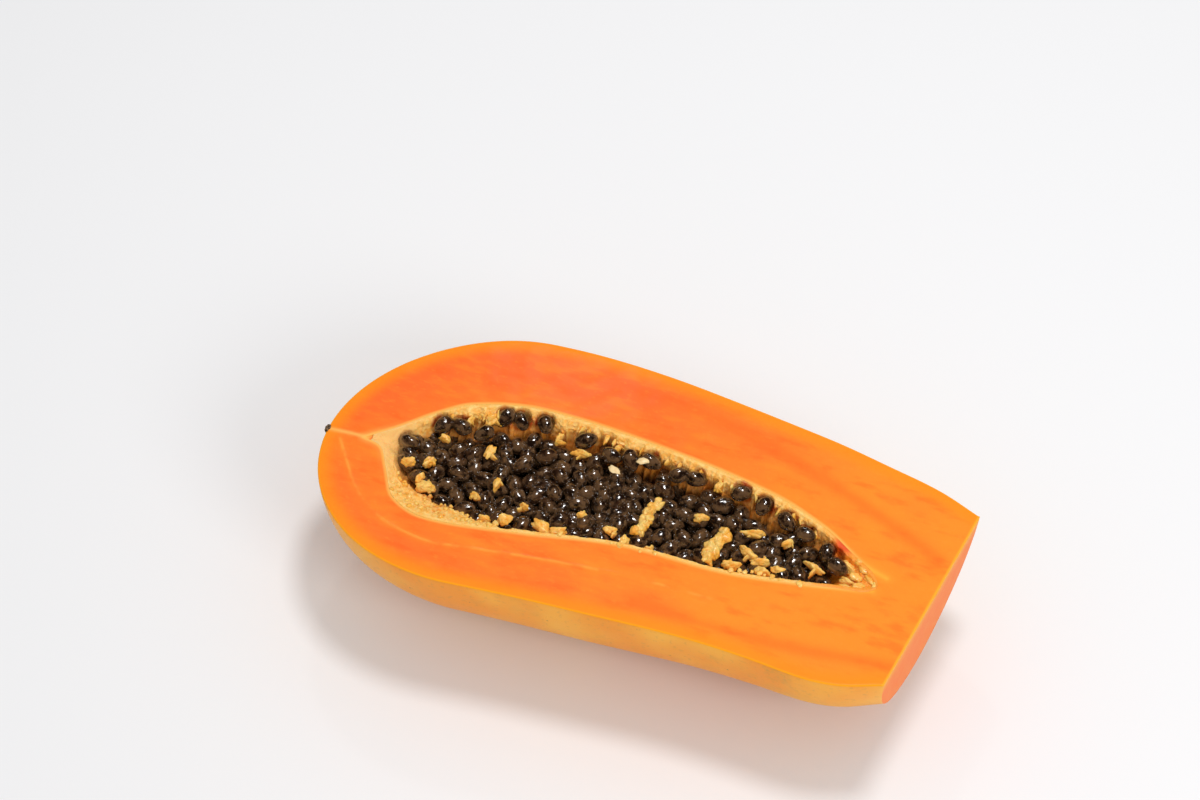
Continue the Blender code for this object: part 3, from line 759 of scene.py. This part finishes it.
# Pulp bits: strands and lumps of the lining, soft and yellow, that tore off with the knife and stuck to
# the wet seeds and the rim. Each has a place, half a length, half a width and a heading in degrees.
LUMP_HEIGHT, END_HEIGHT, CRUMB_HEIGHT = -3.0, -0.8, 0.3
LUMP_RISE, SCRAP_RISE, END_RISE, FIN_RISE = 1.8, 1.4, 0.7, 1.3         # half of how high each stands
SCRAP_ASIDE = 1.6
LEAST_TORN = 0.4
LUMPS = [(30.1, -7.0, 1.9, 1.3, 20), (36.7, -4.6, 2.1, 1.3, 60), (39.0, -14.9, 2.8, 1.9, 10),
         (36.0, -12.0, 1.8, 1.2, 70), (38.1, 6.3, 1.7, 1.1, 0), (54.1, 6.1, 2.4, 1.3, 80),
         (56.0, -12.8, 1.3, 1.1, 0), (61.1, -5.7, 2.1, 1.1, 90), (68.4, -18.8, 2.1, 1.8, 30),
         (62.2, -20.9, 1.7, 1.1, 0), (81.0, -17.4, 2.9, 1.9, 160), (86.7, -18.0, 2.5, 1.8, 30),
         (72.9, -11.7, 1.2, 0.9, 0), (92.0, -8.4, 1.4, 1.0, 40), (83.1, 15.5, 2.4, 1.1, 10),
         (43.1, 15.2, 2.9, 0.9, 80), (50.0, 19.6, 2.8, 2.0, 60), (47.3, 20.2, 2.2, 1.0, 85),
         (102.9, -11.4, 1.7, 1.2, 0), (108.5, -14.6, 2.2, 1.6, 80), (117.1, -14.9, 1.4, 1.1, 0),
         (129.3, 3.6, 2.1, 1.1, 20), (144.4, -11.4, 2.4, 1.6, 10), (148.2, -4.9, 2.9, 1.3, 160),
         (153.0, -7.0, 2.3, 1.3, 20), (147.7, 3.2, 3.2, 1.0, 10), (159.4, 3.1, 1.8, 1.0, 50),
         (159.6, -8.3, 2.0, 1.3, 0), (155.1, -10.6, 2.1, 1.3, 0), (170.4, -3.2, 2.9, 0.9, 160),
         (158.0, 12.4, 1.8, 1.0, 80), (180.5, 0.5, 2.4, 1.5, 150), (182.0, -5.5, 2.6, 1.1, 170),
         (94.0, 21.0, 1.9, 0.9, 80), (74.0, 19.0, 2.0, 1.0, 80), (131.0, 17.6, 2.0, 1.0, 60)]
STRANDS = [[(113.6, 4.8, 1.2), (113.0, 2.4, 1.5), (112.6, 0.0, 1.3), (112.5, -2.4, 1.6),
            (112.9, -4.8, 1.4), (112.0, -7.2, 1.7), (110.6, -9.4, 1.5)],
           [(138.6, 0.4, 1.7), (138.4, -2.2, 1.9), (137.4, -4.8, 1.7), (136.5, -7.4, 1.9),
            (136.0, -10.0, 2.0), (136.2, -12.4, 1.6)]]
RIM_CRUMBS = [(136.2, -14.3), (148.3, -14.4), (152.2, -13.9), (156.4, -13.4), (158.9, -13.7),
              (108.5, -17.9), (105.8, -18.1), (88.5, -19.9), (115.5, -17.8), (120.3, -17.0),
              (168.1, -12.9), (150.1, -14.9), (145.6, -15.0), (154.6, -13.2), (161.5, -13.8)]
END_LUMPS = [(183.4, 2.2, 2.0, 1.2, 150), (186.2, -0.4, 2.1, 1.0, 160), (188.8, -3.6, 2.3, 1.0, 150),
             (186.0, -6.8, 2.0, 1.1, 10), (181.6, -8.8, 2.2, 1.0, 10), (190.8, -5.4, 1.6, 0.9, 100),
             (184.0, -3.6, 2.2, 1.4, 170)]
FINS, FINS_FROM, FIN_PITCH, FIN_CLEAR = 30, 33, 4.6, 2.6
SHELF_CRUMBS, SHELF_FROM, SHELF_TO = 60, 27, 68
FLAKES = [(104.3, 17.9, -0.6, 25), (96.3, 11.2, -0.8, -20)]
FLAKE_SIZE = (2.1, 1.2, 0.45)


def add_bit(form, middle, size, heading, fineness=3):
    """Add a torn lump: a ball, stretched, broken up by noise and turned."""
    corners = bmesh.ops.create_icosphere(form, subdivisions=fineness, radius=1.0)["verts"]
    turn = Matrix.Rotation(math.radians(heading), 3, "Z")
    own = middle * 0.61
    for corner in corners:
        torn = 1 + 0.5 * noise.noise(corner.co * 1.2 + own) + 0.22 * noise.noise(corner.co * 2.7 + own)
        torn = max(LEAST_TORN, torn + 0.13 * noise.noise(corner.co * 6.5 + own))
        shape = Vector(part * reach for part, reach in zip(corner.co, size)) * torn
        corner.co = turn @ shape + middle


bits = bmesh.new()
for along, y, length, width, heading in LUMPS:
    middle = Vector((along, y, LUMP_HEIGHT))
    add_bit(bits, middle, (length * 1.2, width, LUMP_RISE), heading, 4)
    aside = [draw.uniform(-SCRAP_ASIDE, SCRAP_ASIDE) for _ in range(2)]
    scrap = (length * 0.8, width * 0.5, SCRAP_RISE)
    add_bit(bits, middle + Vector((*aside, -0.4)), scrap, heading + draw.uniform(30, 120))
for along, y, length, width, heading in END_LUMPS:
    add_bit(bits, Vector((along, y, END_HEIGHT)), (length, width, END_RISE), heading)
for strand in STRANDS:
    for (along, y, width), (next_along, next_y, next_width) in zip(strand, strand[1:]):
        for share in (0.0, 0.35, 0.7):
            middle = Vector((along + (next_along - along) * share + draw.uniform(-1.3, 1.3),
                             y + (next_y - y) * share, LUMP_HEIGHT + draw.uniform(-0.3, 0.5)))
            wide = width + (next_width - width) * share
            size = (wide * draw.uniform(0.9, 1.6), wide * draw.uniform(0.5, 1.1), SCRAP_RISE)
            add_bit(bits, middle, size, draw.uniform(20, 160))
for number in range(FINS):
    along = FINS_FROM + number * FIN_PITCH + draw.uniform(-1.5, 1.5)
    y = smooth_curve(FAR_RIM, along) - draw.uniform(2.4, 3.6)
    middle = Vector((along, y, draw.uniform(-2.6, -1.6)))
    if seed_tree.find(middle)[2] > FIN_CLEAR:
        size = (draw.uniform(1.4, 2.4), draw.uniform(0.5, 0.8), FIN_RISE)
        add_bit(bits, middle, size, draw.uniform(60, 115))
for along, y in RIM_CRUMBS:
    size = draw.uniform(0.45, 1.0)
    middle = Vector((along, y + draw.uniform(-0.4, 0.5), 0.0))
    add_bit(bits, middle, (size * 1.3, size, size * 0.5), draw.uniform(0, 180))
for _ in range(SHELF_CRUMBS):
    along = draw.uniform(SHELF_FROM, SHELF_TO)
    inwards = draw.uniform(1.2, smooth_curve(SHELF, along) + 1)
    size = draw.uniform(0.3, 0.85)
    middle = Vector((along, smooth_curve(NEAR_RIM, along) + inwards, -NEAR_FALL * inwards + CRUMB_HEIGHT))
    add_bit(bits, middle, (size * 1.3, size, size), draw.uniform(0, 180), 2)


def bit_finish():
    bit = Finish("torn_pulp", Subsurface_Weight=0.25, Subsurface_Radius=(1.0, 0.5, 0.15),
                 Subsurface_Scale=0.0015, Coat_Weight=0.4, Coat_Roughness=0.15)
    lumps, grain = bit.cloud(3.5, 3), bit.cloud(0.9, 3)
    color = bit.blend(lumps.step(0.38, 0.62), tint(255, 204, 108), tint(253, 178, 66))
    color = bit.blend(grain.step(0.5, 0.7) * 0.4, color, tint(240, 146, 34))
    # Painted shade: the lumps turn darker brown-orange towards their undersides, low among the seeds.
    color = bit.blend(bit.place("Z").step(-3.0, -4.6), color, tint(196, 108, 30))
    return bit.wear(color, 0.4 + lumps * 0.15, grain, 0.5, 0.0004)


make_piece("pulp_bits", bits, [bit_finish()])

flakes = bmesh.new()
for along, y, z, heading in FLAKES:
    add_bit(flakes, Vector((along, y, z)), FLAKE_SIZE, heading)
flake = Finish("pale_flake", Coat_Weight=0.3, Coat_Roughness=0.2)
cream = flake.blend(flake.cloud(1.2, 3), tint(250, 226, 176), tint(236, 196, 130))
flake.wear(cream, 0.4, flake.cloud(0.5, 2), 0.4, 0.0003)
make_piece("pale_flakes", flakes, [flake])

# Table and light: a plain white sweep in a bright room. Lamps above and behind the fruit put the sharp
# sparkle on the wet seeds, and the walls of the room are too dull to show in them.
FLOOR_SIZE = 4.0
ROOM_GLOW = 0.58

floor_form = bmesh.new()
bmesh.ops.create_grid(floor_form, x_segments=1, y_segments=1, size=FLOOR_SIZE / 2)
floor_mesh = bpy.data.meshes.new("table")
floor_form.to_mesh(floor_mesh)
floor_form.free()
table = bpy.data.objects.new("table", floor_mesh)
bpy.context.scene.collection.objects.link(table)
white = Finish("white_table", Specular_IOR_Level=0.2)
plain = white.blend(white.cloud(300, 1), (0.86, 0.86, 0.87), (0.88, 0.88, 0.89))
white.wear(plain, 0.7)
floor_mesh.materials.append(white.material)


def add_lamp(name, place, size, power):
    """Add a round lamp that is turned to the fruit."""
    lamp = bpy.data.lights.new(name, "AREA")
    lamp.shape = "DISK"
    lamp.size = size
    lamp.energy = power
    holder = bpy.data.objects.new(name, lamp)
    holder.location = place
    holder.rotation_euler = (-Vector(place)).to_track_quat("-Z", "Y").to_euler()
    bpy.context.scene.collection.objects.link(holder)
    return holder


add_lamp("softbox", (0.1, 0.22, 1.2), size=0.25, power=5.0)
add_lamp("back_box", (-0.3, 0.75, 0.95), size=0.09, power=0.5)
add_lamp("front_fill", (0.95, -0.6, 0.8), size=0.6, power=5.2).visible_glossy = False
world = bpy.data.worlds.new("room")
world.use_nodes = True
world.node_tree.nodes["Background"].inputs["Color"].default_value = (1.0, 1.0, 1.0, 1.0)
world.node_tree.nodes["Background"].inputs["Strength"].default_value = ROOM_GLOW
world.cycles_visibility.glossy = False
bpy.context.scene.world = world
bpy.context.scene.view_settings.view_transform = "Standard"
